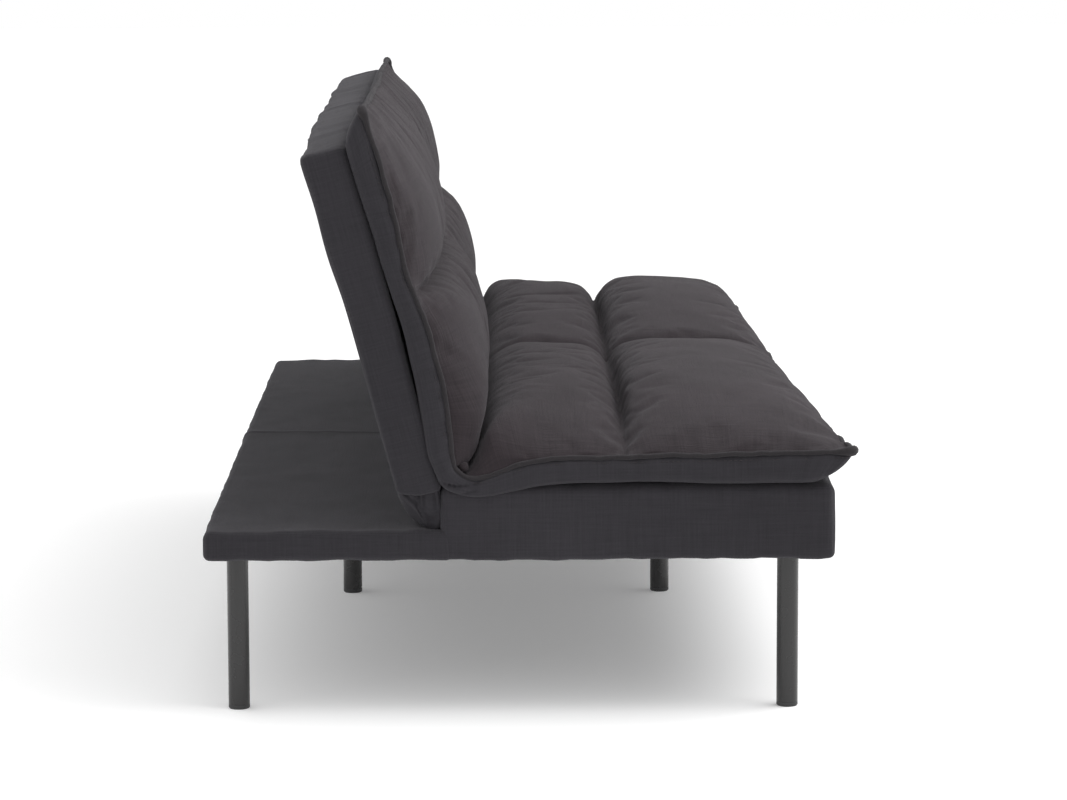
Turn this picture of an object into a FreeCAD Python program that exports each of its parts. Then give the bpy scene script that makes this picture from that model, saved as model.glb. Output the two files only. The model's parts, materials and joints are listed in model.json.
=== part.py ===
"""Futon sofa bed: a padded seat box and rear deck on six tube legs, with a folding back and a tufted mattress.

Millimetres. +Z is up, the sofa faces -Y, X runs along its length. The origin is on the floor, at the middle of
the sofa's footprint. The back is drawn upright about its hinge line and then leaned rearwards by its rest tilt.
"""
import FreeCAD, Part
import math
import os

import Sketcher
from FreeCAD import Placement, Rotation, Vector

doc = FreeCAD.newDocument("futon_sofa_bed")
dims = doc.addObject("Spreadsheet::Sheet", "dims")

DRIVING_SIZES = [
    ("span", 1830, "length of the seat box and deck"),
    ("depth", 905, "front tip of the mattress to the rear edge of the deck"),
    ("underside", 221, "floor to the underside of the base"),
    ("deck_top", 258, "floor to the top of the rear deck"),
    ("box_top", 324, "floor to the top of the seat box"),
    ("box_depth", 543, "seat box, front to rear"),
    ("pad_nose", 31, "mattress edge ahead of the seat box"),
    ("pad_side", 8, "mattress beyond each end of the seat box"),
    ("pad_height", 107, "crown of the mattress above the box it lies on"),
    ("cloth", 1.5, "upholstery thickness"),
    ("wadding", 6, "room for the soft wadding between the frames and the upholstery"),
    ("gap", 0.3, "clearance between neighbouring pieces"),
    ("hinge_behind", 24, "hinge line behind the seat box"),
    ("hinge_height", 290, "floor to the hinge line"),
    ("tilt", 15, "rest tilt of the back from upright, degrees"),
    ("back_front", 34, "hinge line to the front face of the back box"),
    ("back_thick", 65, "thickness of the back box"),
    ("back_start", 24, "hinge line to the lower end of the back box"),
    ("back_reach", 507, "hinge line to the top end of the back box"),
    ("leg_diameter", 30, "leg tube outside diameter"),
    ("leg_wall", 1.5, "leg tube wall"),
    ("leg_end_inset", 61, "outer leg centre from the end of the seat box"),
    ("front_leg", 60, "front leg centre behind the front of the seat box"),
    ("rear_leg", 45, "rear leg centre ahead of the rear of the deck"),
    ("middle_front_leg", 203, "middle front leg centre behind the front of the seat box"),
    ("middle_rear_leg", 174, "middle rear leg centre ahead of the rear of the deck"),
    ("glide_height", 6, "visible height of a leg's plastic foot"),
    ("plate_thick", 4, "leg top plate and hinge plate thickness"),
    ("stud_radius", 4, "leg stud radius"),
    ("base_rail", 24, "height of the rails of the base frame"),
    ("end_rail", 20, "width of the seat frame rails"),
    ("seat_rail", 50, "height of the seat frame rails"),
    ("wire", 1.75, "radius of the sinuous spring wire"),
    ("seat_springs", 9, "number of sinuous springs in the seat"),
    ("back_springs", 7, "number of sinuous springs in the back"),
    ("pivot_radius", 4, "hinge pin radius"),
    ("roller_radius", 5, "detent roller radius"),
    ("roller_orbit", 19, "hinge line to the roller centre at rest"),
    ("cam_rise", 4.5, "cam rise per radian of recline"),
]


class Size:
    """A size that knows both its number and the spreadsheet expression that gives it."""

    def __init__(self, value, text):
        self.value = float(value)
        self.text = text

    def _join(self, other, sign, value):
        other_text = other.text if isinstance(other, Size) else repr(float(other))
        return Size(value, f"({self.text} {sign} {other_text})")

    def __add__(self, other):
        return self._join(other, "+", self.value + float(other))

    def __sub__(self, other):
        return self._join(other, "-", self.value - float(other))

    def __radd__(self, other):
        return number(other) + self

    def __rsub__(self, other):
        return number(other) - self

    def __mul__(self, other):
        return self._join(other, "*", self.value * float(other))

    def __rmul__(self, other):
        return number(other) * self

    def __truediv__(self, other):
        return self._join(other, "/", self.value / float(other))

    def __neg__(self):
        return Size(-self.value, f"(0 - {self.text})")

    def __float__(self):
        return self.value


def number(value):
    """A plain number as a Size, so that it can be mixed with bound ones."""
    return value if isinstance(value, Size) else Size(value, repr(float(value)))


size = {}
for row, (alias, value, note) in enumerate(DRIVING_SIZES, start=1):
    dims.set(f"A{row}", note)
    dims.set(f"B{row}", str(value))
    dims.setAlias(f"B{row}", alias)
    size[alias] = Size(value, f"dims.{alias}")
doc.recompute()

# Places worked out from the driving sizes.
half_span = size["span"] / 2
cloth = size["cloth"]
wrap = cloth + size["wadding"]
gap = size["gap"]
box_front = -size["depth"] / 2 + size["pad_nose"]
box_rear = box_front + size["box_depth"]
deck_rear = size["depth"] / 2
hinge_y = box_rear + size["hinge_behind"]
hinge_z = size["hinge_height"]
under = size["underside"]
outer_leg_x = half_span - size["leg_end_inset"]
front_leg_y = box_front + size["front_leg"]
rear_leg_y = deck_rear - size["rear_leg"]
middle_front_y = box_front + size["middle_front_leg"]
middle_rear_y = deck_rear - size["middle_rear_leg"]
frame_low = under + cloth
frame_high = frame_low + size["base_rail"]
seat_low = frame_high + gap
seat_high = seat_low + size["seat_rail"]
inner_x = half_span - wrap
frame_front = box_front + wrap
seat_inner_rear = box_rear - wrap
deck_inner = deck_rear - wrap
# The open window in the underside, which the dust cover closes.
window_x = half_span - 40
window_front = box_front + 40
window_rear = deck_rear - 25
wood = size["end_rail"]
plate = size["plate_thick"]
# The hinge parts lie in layers inside each end of the frame; each x is a layer's outer face.
bracket_x = inner_x - wood
arm_x = bracket_x - plate - 1
cam_x = arm_x - plate
mechanism_x = cam_x - plate - 2
lean_sin = Size(math.sin(math.radians(size["tilt"].value)), "sin(dims.tilt * 1 deg)")
lean_cos = Size(math.cos(math.radians(size["tilt"].value)), "cos(dims.tilt * 1 deg)")
spring_lift = size["wire"].value + 0.4
# The back's own frame: y is rearwards from the hinge line and z runs up the back.
back_face = -size["back_front"]
back_rear = back_face + size["back_thick"]
back_low = size["back_start"]
back_high = size["back_reach"]

SIDES = (("left", -1), ("right", 1))
TO_X = Rotation(Vector(0, 1, 0), 90)
TO_MINUS_X = Rotation(Vector(0, 1, 0), -90)
LEGS = {
    "front_left": (-outer_leg_x, front_leg_y),
    "front_middle": (number(0), middle_front_y),
    "front_right": (outer_leg_x, front_leg_y),
    "rear_left": (-outer_leg_x, rear_leg_y),
    "rear_middle": (number(0), middle_rear_y),
    "rear_right": (outer_leg_x, rear_leg_y),
}
nodes = []

# The hinge parts, measured from the hinge line: y rearwards and z up for those on the seat.
BRACKET_SCREWS = (-100, -72)
ARM_SCREWS = (62, 112)
POSITIONS = (0, 25, 50, 75)
RUNNING_FIT = 0.06
screw_radius = 2.4
detent_pin = 3
roller_way = Vector(0, -0.3, -math.sqrt(1 - 0.3 ** 2))
roller_spot = roller_way * size["roller_orbit"].value
detent_pivot = roller_spot + Vector(0, roller_way.z, -roller_way.y) * 45


def node(item):
    """Marks an object as a sub-part that is written to its own file."""
    nodes.append(item)
    return item


def place(item, x, y, z, on_back=False, turn=None):
    """Binds an object's position, turning it first and leaning it with the back if it belongs there."""
    x, y, z = number(x), number(y), number(z)
    rotation = turn or Rotation()
    if on_back:
        rotation = Rotation(Vector(1, 0, 0), -size["tilt"].value) * rotation
        y, z = hinge_y + y * lean_cos + z * lean_sin, hinge_z - y * lean_sin + z * lean_cos
    item.Placement = Placement(Vector(), rotation)
    for axis, value in zip("xyz", (x, y, z)):
        item.setExpression(f"Placement.Base.{axis}", value.text)
    return item


def block(label, low, high, on_back=False):
    """A Part::Box between two corners."""
    item = doc.addObject("Part::Box", label)
    low, high = [number(v) for v in low], [number(v) for v in high]
    for prop, a, b in zip(("Length", "Width", "Height"), low, high):
        item.setExpression(prop, (b - a).text)
    return place(item, *low, on_back=on_back)


def rod_along_x(label, radius, x0, x1, y, z, on_back=False):
    """A Part::Cylinder along the sofa's length, between two x."""
    item = doc.addObject("Part::Cylinder", label)
    item.setExpression("Radius", number(radius).text)
    item.setExpression("Height", (number(x1) - number(x0)).text)
    return place(item, x0, y, z, on_back, TO_X)


def group(label, items):
    """Identical pieces as one sub-part of separate solids."""
    item = doc.addObject("Part::Compound", label)
    item.Links = items
    return item


def copy_of(item, label, x, y, z, on_back=False, turn=None):
    """A linked copy of a body at another place."""
    link = doc.addObject("App::Link", label)
    link.LinkedObject = item
    return place(link, x, y, z, on_back, turn)


def cut(label, base, *tools):
    """The base with the tools removed."""
    tool = tools[0] if len(tools) == 1 else group(f"{label}_tools", list(tools))
    item = doc.addObject("Part::Cut", label)
    item.Base = base
    item.Tool = tool
    return item


def sketch_in(body, role, name):
    """An empty sketch on one of a body's own origin planes."""
    sketch = body.newObject("Sketcher::SketchObject", name)
    sketch.AttachmentSupport = (next(f for f in body.Origin.OriginFeatures if f.Role == role), [""])
    sketch.MapMode = "FlatFace"
    return sketch


def add_outline(sketch, points):
    """A closed outline of straight lines, each corner held by bound distances from the sketch's origin.

    An empty list adds nothing, for a sketch of circles alone.
    """
    points = [(number(a), number(b)) for a, b in points]
    first = sketch.GeometryCount
    corners = [Vector(a.value, b.value, 0) for a, b in points]
    for i, corner in enumerate(corners):
        sketch.addGeometry(Part.LineSegment(corner, corners[(i + 1) % len(corners)]))
    for i, (a, b) in enumerate(points):
        line = first + i
        following = first + (i + 1) % len(points)
        sketch.addConstraint(Sketcher.Constraint("Coincident", line, 2, following, 1))
        for kind, value in (("DistanceX", a), ("DistanceY", b)):
            index = sketch.addConstraint(Sketcher.Constraint(kind, -1, 1, line, 1, value.value))
            sketch.setExpression(f"Constraints[{index}]", value.text)


def add_circle(sketch, x, y, radius):
    """A circle with a bound centre and radius."""
    x, y, radius = number(x), number(y), number(radius)
    item = sketch.addGeometry(Part.Circle(Vector(x.value, y.value, 0), Vector(0, 0, 1), radius.value))
    for kind, value in (("DistanceX", x), ("DistanceY", y)):
        index = sketch.addConstraint(Sketcher.Constraint(kind, -1, 1, item, 3, value.value))
        sketch.setExpression(f"Constraints[{index}]", value.text)
    index = sketch.addConstraint(Sketcher.Constraint("Radius", item, radius.value))
    sketch.setExpression(f"Constraints[{index}]", radius.text)


def pad_body(label, role, outline, length, circles=(), midplane=False):
    """A body padded from one sketch of an outline with round holes."""
    body = doc.addObject("PartDesign::Body", label)
    sketch = sketch_in(body, role, f"{label}_sketch")
    add_outline(sketch, outline)
    for circle in circles:
        add_circle(sketch, *circle)
    pad = body.newObject("PartDesign::Pad", f"{label}_pad")
    pad.Profile = sketch
    pad.SideType = 2 if midplane else 0
    pad.setExpression("Length", number(length).text)
    return body


def turned_body(label, outline):
    """A body revolved about its own Z axis from a (radius, height) outline."""
    body = doc.addObject("PartDesign::Body", label)
    sketch = sketch_in(body, "XZ_Plane", f"{label}_sketch")
    add_outline(sketch, outline)
    turn = body.newObject("PartDesign::Revolution", f"{label}_turn")
    turn.Profile = sketch
    turn.ReferenceAxis = (sketch, ["V_Axis"])
    turn.Angle = 360
    return body


def round_edges(body, radius, wanted):
    """A fillet on the edges of a body's tip that the test wants."""
    doc.recompute()
    tip = body.Tip
    names = [f"Edge{i}" for i, edge in enumerate(tip.Shape.Edges, start=1) if wanted(edge)]
    fillet = body.newObject("PartDesign::Fillet", f"{body.Name}_fillet_{len(names)}")
    fillet.Base = (tip, names)
    fillet.setExpression("Radius", number(radius).text)
    return body


def rectangle(x0, y0, x1, y1):
    return [(x0, y0), (x1, y0), (x1, y1), (x0, y1)]


def soft_box(label, low, high, top_radius=0, side_radius=0, open_front=False):
    """A block in a body, with rounded upright edges and a rounded top; an open front is left square."""
    low, high = [number(v) for v in low], [number(v) for v in high]
    height = high[2] - low[2]
    body = pad_body(label, "XY_Plane", rectangle(low[0], low[1], high[0], high[1]), height)
    front = low[1].value
    if side_radius:
        round_edges(body, side_radius, lambda e: e.BoundBox.ZLength > 1)
    if top_radius:
        round_edges(body, top_radius, lambda e: e.BoundBox.ZMin > height.value - 0.01
                    and not (open_front and e.BoundBox.YMax < front + 0.01))
    return place(body, 0, 0, low[2])


# ---------------------------------------------------------------- legs
def make_legs():
    """Six tube legs, each with a welded top plate, a threaded stud and a plastic glide."""
    radius = size["leg_diameter"] / 2
    bore = radius - size["leg_wall"]
    glide = size["glide_height"]
    tube_high = under - plate
    thread = size["stud_radius"]
    tube = pad_body("leg_tube_master", "XY_Plane", [], tube_high - glide, [(0, 0, radius), (0, 0, bore)])
    top = turned_body("leg_top_plate_master", rectangle(thread + 0.1, 0, radius, plate))
    stud = turned_body(
        "leg_stud_master",
        [(0, -12), (6.5, -12), (6.5, -6), (thread, -6), (thread, 20), (thread - 1, 22), (0, 22)],
    )
    foot = turned_body(
        "leg_glide_master",
        [(0, 0), (radius - 1.5, 0), (radius, 1.5), (radius, glide - 0.1), (bore - 0.1, glide - 0.1),
         (bore - 0.1, glide + 12), (bore - 2, glide + 14), (0, glide + 14)],
    )
    tops, studs, feet = [], [], []
    for name, (x, y) in LEGS.items():
        node(copy_of(tube, f"leg_{name}", x, y, glide))
        tops.append(copy_of(top, f"leg_top_plate_{name}", x, y, tube_high))
        studs.append(copy_of(stud, f"leg_stud_{name}", x, y, under))
        feet.append(copy_of(foot, f"leg_glide_{name}", x, y, 0))
    node(group("leg_top_plates", tops))
    node(group("leg_studs", studs))
    node(group("leg_glides", feet))


# ---------------------------------------------------------------- base frame and deck
def make_base_frame():
    """The flat timber frame that the legs screw into, with its insert nuts."""
    side_width, front_width, rear_width, bearer_width = 40, 80, 65, 60
    bar_x = inner_x - side_width - gap
    front_bar_rear = frame_front + front_width
    rear_bar_front = deck_inner - rear_width
    left = rectangle(-inner_x, frame_front, -inner_x + side_width, deck_inner)
    right = rectangle(inner_x - side_width, frame_front, inner_x, deck_inner)
    front = rectangle(-bar_x, frame_front, bar_x, front_bar_rear)
    rear = rectangle(-bar_x, rear_bar_front, bar_x, deck_inner)
    bearer = rectangle(-bearer_width / 2, front_bar_rear + gap, bearer_width / 2, rear_bar_front - gap)
    rails = [
        ("base_left_rail", left, []),
        ("base_right_rail", right, []),
        ("base_front_rail", front, ["front_left", "front_right"]),
        ("base_rear_rail", rear, ["rear_left", "rear_right"]),
        ("base_middle_bearer", bearer, ["front_middle", "rear_middle"]),
    ]
    insert_radius = 5
    for label, outline, legs in rails:
        holes = [(*LEGS[leg], insert_radius + 0.1) for leg in legs]
        body = pad_body(label, "XY_Plane", outline, size["base_rail"], holes)
        node(place(body, 0, 0, frame_low))
    insert = turned_body("insert_nut_master", rectangle(size["stud_radius"] + 0.1, 0, insert_radius, 20))
    nuts = [copy_of(insert, f"insert_nut_{leg}", x, y, frame_low + 1) for leg, (x, y) in LEGS.items()]
    node(group("leg_insert_nuts", nuts))


def make_deck():
    """The board that the folded back rests on, its thin foam and the cover round them."""
    foam_thick = 2
    foam_inset = 1.2
    foam_high = size["deck_top"] - cloth - gap
    board_high = foam_high - foam_thick
    front = box_rear + gap
    node(block("deck_board", (-inner_x, front, seat_low), (inner_x, deck_inner, board_high)))
    node(block("deck_foam", (-inner_x + foam_inset, front, board_high + 0.1),
               (inner_x - foam_inset, deck_inner - foam_inset, foam_high)))

    cover_front = box_rear + 0.1
    round_outer = 4
    low, high = (-half_span, cover_front, under), (half_span, deck_rear, size["deck_top"])
    outer = soft_box("deck_cover_outer", low, high, round_outer, open_front=True)
    low = (-half_span + cloth, cover_front - 2, under + cloth)
    high = (half_span - cloth, deck_rear - cloth, size["deck_top"] - cloth)
    inner = soft_box("deck_cover_inner", low, high, round_outer - cloth, open_front=True)
    low, high = (-window_x, cover_front - 1, under - 1), (window_x, window_rear, frame_low + 1)
    node(cut("deck_cover", outer, inner, block("deck_window", low, high)))


# ---------------------------------------------------------------- seat box
def sinuous_wire(length, bends):
    """A zigzag spring lying in XY, from y = 0 to y = length, with a straight run across each end."""
    reach = 20
    pitch = length / bends
    radius = pitch / 2
    edges = []
    side = 1
    for i in range(bends + 1):
        y = i * pitch
        start, end = Vector(-side * reach, y, 0), Vector(side * reach, y, 0)
        edges.append(Part.LineSegment(start, end).toShape())
        if i < bends:
            middle = Vector(side * (reach + radius), y + radius, 0)
            edges.append(Part.Arc(end, middle, Vector(side * reach, y + pitch, 0)).toShape())
        side = -side
    path = Part.Wire(edges)
    circle = Part.Circle(Vector(-reach, 0, 0), Vector(1, 0, 0), size["wire"].value)
    return path.makePipeShell([Part.Wire(circle.toShape())], True, False)


def spring_set(label, count, length, bends, place_one, rotation):
    """Evenly spaced sinuous springs and the two rows of clips that hold their ends."""
    spring = sinuous_wire(length, bends)
    room = 2 * float(half_span) - 150
    wires, clips = [], []
    wire = size["wire"].value
    clip = Part.makeBox(18, 14, 2 * wire + 1.2, Vector(-9, -7, -spring_lift))
    groove = Part.makeCylinder(wire + 0.1, 20, Vector(-10, 0, 0), Vector(1, 0, 0))
    clip = clip.cut(groove)
    for i in range(count):
        x = room * (i / (count - 1) - 0.5)
        wires.append(spring.copy())
        wires[-1].Placement = Placement(place_one(x, 0), rotation)
        for end in (0, length):
            clips.append(clip.copy())
            clips[-1].Placement = Placement(place_one(x, end), rotation)
    for name, shapes in ((f"{label}_springs", wires), (f"{label}_spring_clips", clips)):
        item = doc.addObject("Part::Feature", name)
        item.Shape = Part.makeCompound(shapes)
        node(item)


def make_seat_frame():
    """Upright rails round the seat box, corner braces and the sinuous springs across them."""
    front, rear = frame_front, seat_inner_rear
    cross_x = inner_x - wood - gap
    for name, side in SIDES:
        inner_edge, outer_edge = bracket_x * side, inner_x * side
        low_x, high_x = (outer_edge, inner_edge) if side < 0 else (inner_edge, outer_edge)
        rail = block(f"seat_{name}_rail_blank", (low_x, front, seat_low), (high_x, rear, seat_high))
        holes = [rod_along_x(f"seat_{name}_rail_hole_{i}", screw_radius + 0.05, low_x - 1, high_x + 1,
                             hinge_y + y, hinge_z) for i, y in enumerate(BRACKET_SCREWS)]
        node(cut(f"seat_{name}_rail", rail, *holes))
    node(block("seat_front_rail", (-cross_x, front, seat_low), (cross_x, front + wood, seat_high)))
    node(block("seat_rear_rail", (-mechanism_x, rear - wood, seat_low), (mechanism_x, rear, seat_high)))
    node(block("seat_middle_rail", (-wood / 2, front + wood + gap, seat_low),
               (wood / 2, rear - wood - gap, seat_high - 15)))
    brace = 45
    braces = []
    for name, side in SIDES:
        corner_x, corner_y = cross_x * side, front + wood + gap
        triangle = [(corner_x, corner_y), (corner_x - side * brace, corner_y), (corner_x, corner_y + brace)]
        braces.append(place(pad_body(f"seat_brace_{name}", "XY_Plane", triangle, 35), 0, 0, seat_low))
    node(group("seat_corner_braces", braces))
    clip_y = float(front + wood / 2)
    span_y = float(rear - wood / 2) - clip_y
    clip_z = float(seat_high) + spring_lift
    spring_set("seat", int(size["seat_springs"].value), span_y, 17,
               lambda x, y: Vector(x, clip_y + y, clip_z), Rotation())


def make_seat_box():
    """The seat's foam, the cover drawn over it and the dust cover beneath."""
    round_top, round_side = 12, 3
    hollow_round = round_top - cloth
    foam_low = seat_high + 2 * spring_lift + 0.8
    inside_top = size["box_top"] - cloth
    node(soft_box("seat_foam", (-inner_x, frame_front, foam_low), (inner_x, seat_inner_rear, inside_top - gap),
                  hollow_round - gap, 0))
    outer = soft_box("seat_cover_outer", (-half_span, box_front, under), (half_span, box_rear, size["box_top"]),
                     round_top, round_side)
    inner = soft_box("seat_cover_inner", (-half_span + cloth, box_front + cloth, under + cloth),
                     (half_span - cloth, box_rear - cloth, inside_top), hollow_round, 0)
    tools = [
        inner,
        block("seat_window", (-window_x, window_front, under - 1), (window_x, box_rear + 1, frame_low + 1)),
        block("seat_rear_opening", (-half_span + cloth, box_rear - cloth - 1, under + cloth),
              (half_span - cloth, box_rear + 1, size["deck_top"] - cloth)),
    ]
    for name, side in SIDES:
        low_x, high_x = sorted([mechanism_x * side, (bracket_x + 4) * side], key=float)
        tools.append(block(f"seat_slot_{name}", (low_x, box_rear - 3, hinge_z - 32),
                           (high_x, box_rear + 1, hinge_z + 17)))
    node(cut("seat_cover", outer, *tools))

    holes = [(x, y, size["stud_radius"] + 1.2) for x, y in LEGS.values()]
    sheet = rectangle(-window_x + 0.2, window_front + 0.2, window_x - 0.2, window_rear - 0.2)
    node(place(pad_body("dust_cover", "XY_Plane", sheet, 1, holes), 0, 0, under + 0.2))


def bevelled(body, amount, half, on_crown):
    """Slopes a pad's crown down towards its two ends."""
    doc.recompute()
    tip = body.Tip
    names = []
    for i, edge in enumerate(tip.Shape.Edges, start=1):
        box = edge.BoundBox
        if box.XLength < 0.01 and abs(abs(box.XMin) - half) < 0.01 and on_crown(box):
            names.append(f"Edge{i}")
    chamfer = body.newObject("PartDesign::Chamfer", f"{body.Name}_bevel")
    chamfer.Base = (tip, names)
    chamfer.Size = amount
    return body


def make_mattress():
    """The seat and back parts of the tufted mattress, which meet in a crease above the hinge line."""
    length = size["span"] + 2 * size["pad_side"]
    low = size["box_top"] + 0.5
    high = size["box_top"] + size["pad_height"]
    bevel = 24

    def crease(slope, height):
        """Where a plane through the hinge line, sloping towards the front, is at a height above that line."""
        return height / math.tan(math.radians(slope))

    seat_slope = 48
    rear_low = hinge_y - crease(seat_slope, (low - hinge_z).value)
    rear_high = hinge_y - crease(seat_slope, (high - hinge_z).value)
    nose_z = (low + 42).value
    profile = [(box_front + 6, low), (-size["depth"] / 2, nose_z), (box_front + 10, high - 20),
               (box_front + 80, high), (rear_high, high), (rear_low, low)]
    seat = pad_body("seat_pad", "YZ_Plane", profile, length, midplane=True)
    node(bevelled(seat, bevel, length.value / 2, lambda box: box.ZMin > high.value - 0.01))

    face = size["back_front"] + 0.5
    crown = size["back_front"] + size["pad_height"] - 2
    back_slope = 90 + size["tilt"].value - 56
    profile = [(-face, face.value / math.tan(math.radians(back_slope))),
               (-crown, crown.value / math.tan(math.radians(back_slope)) + 4),
               (-crown, back_high - 90), (-crown + 18, back_high - 35), (-face - 31, back_high + 51),
               (-face, back_high - 2)]
    back = pad_body("back_pad", "YZ_Plane", profile, length, midplane=True)
    bevelled(back, bevel, length.value / 2, lambda box: box.YMax < -crown.value + 0.01)
    node(place(back, 0, 0, 0, on_back=True))

    strip_thick, strip_wide = 1, 42
    node(block("hinge_gap_cloth", (-half_span + 2, box_rear + gap, size["deck_top"] + 0.2),
               (half_span - 2, box_rear + strip_wide, size["deck_top"] + strip_thick)))


# ---------------------------------------------------------------- back box
def make_back():
    """The back box: a timber frame with springs, foam, a rear board and the cover round them."""
    round_outer = 12
    corner_inset = 5
    frame_x = inner_x - corner_inset
    wood_front, wood_rear = -12.5, back_rear - cloth - gap - 3.5
    low, high = back_low + cloth + gap + corner_inset, back_high - wrap - corner_inset
    rail_height = 45

    def piece(label, a, b):
        return block(label, a, b, on_back=True)

    for name, side in SIDES:
        low_x, high_x = sorted([frame_x * side, arm_x * side], key=float)
        stile = piece(f"back_{name}_stile_blank", (low_x, wood_front, low), (high_x, wood_rear, high))
        holes = [rod_along_x(f"back_{name}_stile_hole_{i}", screw_radius + 0.05, low_x - 1, high_x + 1, 0, z,
                             on_back=True) for i, z in enumerate(ARM_SCREWS)]
        node(cut(f"back_{name}_stile", stile, *holes))
    node(piece("back_bottom_rail", (-mechanism_x, wood_front, low),
               (mechanism_x, wood_rear, low + rail_height)))
    node(piece("back_top_rail", (-arm_x + gap, wood_front, high - rail_height), (arm_x - gap, wood_rear, high)))
    node(piece("back_middle_stile", (-wood / 2, wood_front + 12, low + rail_height + gap),
               (wood / 2, wood_rear, high - rail_height - gap)))
    board_inset = 4
    node(piece("back_board", (-frame_x + board_inset, wood_rear + 0.1, low + board_inset),
               (frame_x - board_inset, wood_rear + 3, high - board_inset)))

    clip_low = float(low) + rail_height / 2
    span_z = float(high) - rail_height / 2 - clip_low
    lean = Rotation(Vector(1, 0, 0), -size["tilt"].value)
    hinge = Vector(0, float(hinge_y), float(hinge_z))
    upright = Rotation(Vector(1, 0, 0), 90)
    wire_y = wood_front - spring_lift
    spring_set("back", int(size["back_springs"].value), span_z, 13,
               lambda x, z: hinge + lean.multVec(Vector(x, wire_y, clip_low + z)), lean * upright)

    foam_front, foam_rear = back_face + wrap, -17.5
    foam_low = back_low + cloth + gap
    foam = pad_body("back_foam", "XY_Plane", rectangle(-inner_x, foam_front, inner_x, foam_rear),
                    back_high - wrap - foam_low)
    round_edges(foam, round_outer - wrap, lambda e: e.BoundBox.YMin < foam_front.value + 0.01)
    node(place(foam, 0, 0, foam_low, on_back=True))

    shells = []
    for name, inward in (("outer", number(0)), ("inner", cloth)):
        outline = rectangle(-half_span + inward, back_face + inward, half_span - inward, back_rear - inward)
        body = pad_body(f"back_cover_{name}", "XY_Plane", outline, back_high - back_low - inward * 2)
        round_edges(body, round_outer - inward, lambda e: True)
        shells.append(place(body, 0, 0, back_low + inward, on_back=True))
    slots = []
    for name, side in SIDES:
        low_x, high_x = sorted([mechanism_x * side, (arm_x + 1) * side], key=float)
        slots.append(piece(f"back_slot_{name}", (low_x, -14, back_low - 1), (high_x, 14, back_low + 4)))
    node(cut("back_cover", shells[0], shells[1], *slots))


# ---------------------------------------------------------------- hinges
def plate_body(label, outline, eyes, holes):
    """A flat plate in YZ, four millimetres thick along X: a bar and round eyes, with round holes through it."""
    body = pad_body(label, "YZ_Plane", outline, plate)
    for eye in eyes:
        sketch = sketch_in(body, "YZ_Plane", f"{label}_eye_sketch")
        add_circle(sketch, *eye)
        pad = body.newObject("PartDesign::Pad", f"{label}_eye")
        pad.Profile = sketch
        pad.setExpression("Length", plate.text)
    sketch = sketch_in(body, "YZ_Plane", f"{label}_hole_sketch")
    for hole in holes:
        add_circle(sketch, *hole)
    pocket = body.newObject("PartDesign::Pocket", f"{label}_holes")
    pocket.Profile = sketch
    pocket.Type = "ThroughAll"
    pocket.Reversed = True
    return body


def cam_shape():
    """The spiral plate that the roller follows, with a notch at each position of the back."""
    hub = 12
    clear = 0.45
    roller = size["roller_radius"].value
    thick = plate.value
    roller_angle = math.degrees(math.atan2(roller_way.z, roller_way.y))

    def orbit(turn):
        return size["roller_orbit"].value + size["cam_rise"].value * math.radians(turn)

    def at(turn, radius):
        angle = math.radians(roller_angle + turn)
        return Vector(0, radius * math.cos(angle), radius * math.sin(angle))

    first, last, step = -25, 95, 10
    rim = [at(turn, orbit(turn) - roller - clear) for turn in range(first, last + 1, step)]
    curve = Part.BSplineCurve()
    curve.interpolate(rim)
    hub_start, hub_end = at(last + step, hub), at(first - step, hub)
    edges = [
        curve.toShape(),
        Part.LineSegment(rim[-1], hub_start).toShape(),
        Part.Arc(hub_start, at((first + last) / 2 + 180, hub), hub_end).toShape(),
        Part.LineSegment(hub_end, rim[0]).toShape(),
    ]
    shape = Part.Face(Part.Wire(edges)).extrude(Vector(thick, 0, 0))
    pin_hole = size["pivot_radius"].value + RUNNING_FIT
    shape = shape.cut(Part.makeCylinder(pin_hole, thick, Vector(), Vector(1, 0, 0)))
    notch_depth = 1.2
    for position in POSITIONS:
        centre = at(position, orbit(position) - notch_depth)
        shape = shape.cut(Part.makeCylinder(roller + 0.5, thick, centre, Vector(1, 0, 0)))
    return shape


def band_spring(inner, outer, width, opening):
    """A flat band bent almost into a ring about the X axis, open at its front by this many degrees."""
    def at(radius, degrees):
        angle = math.radians(degrees)
        return Vector(0, radius * math.cos(angle), radius * math.sin(angle))

    first, middle, last = 180 + opening / 2, 360, 540 - opening / 2
    edges = [
        Part.Arc(at(outer, first), at(outer, middle), at(outer, last)).toShape(),
        Part.makeLine(at(outer, last), at(inner, last)),
        Part.Arc(at(inner, last), at(inner, middle), at(inner, first)).toShape(),
        Part.makeLine(at(inner, first), at(outer, first)),
    ]
    return Part.Face(Part.Wire(edges)).extrude(Vector(width, 0, 0))


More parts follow.
